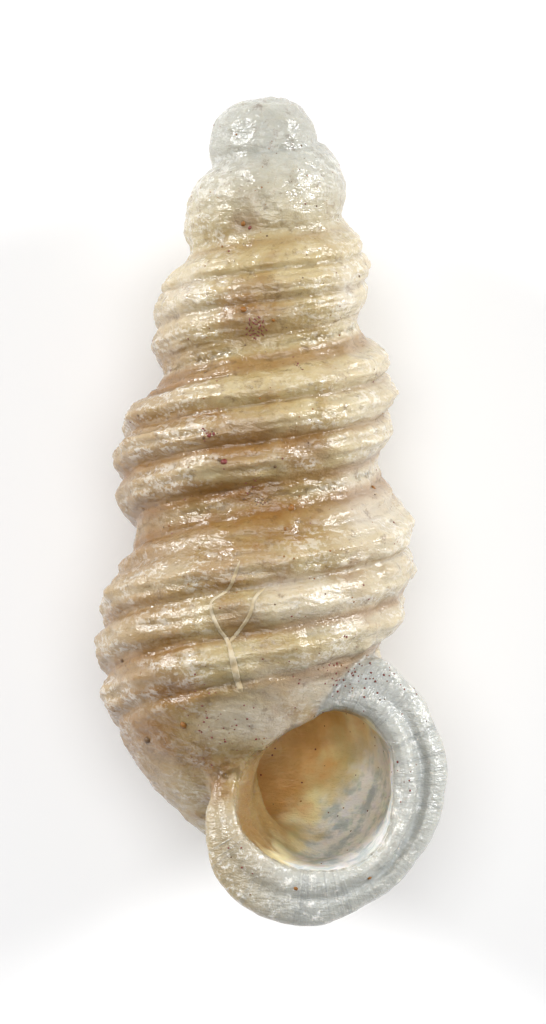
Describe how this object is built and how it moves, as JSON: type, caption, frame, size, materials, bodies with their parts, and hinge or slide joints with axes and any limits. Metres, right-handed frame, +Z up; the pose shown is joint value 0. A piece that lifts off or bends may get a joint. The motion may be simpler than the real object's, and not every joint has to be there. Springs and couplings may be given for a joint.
{
  "type": "lironoba shell",
  "caption": "Minute tapering sea-snail shell with spiral cords, a smooth bulbous tip and a thick round lip, lying on its back.",
  "frame": {"origin": "middle of the lying shell's plan, on the surface it rests on", "axes": "+Y along the coiling axis towards the tip, +Z up out of the mouth, +X to the mouth's outer side"},
  "size_m": [0.0012, 0.0026, 0.0009],
  "materials": {
    "shell": "satin"
  },
  "bodies": {
    "root": {"shell": "shell"}
  },
  "joints": []
}
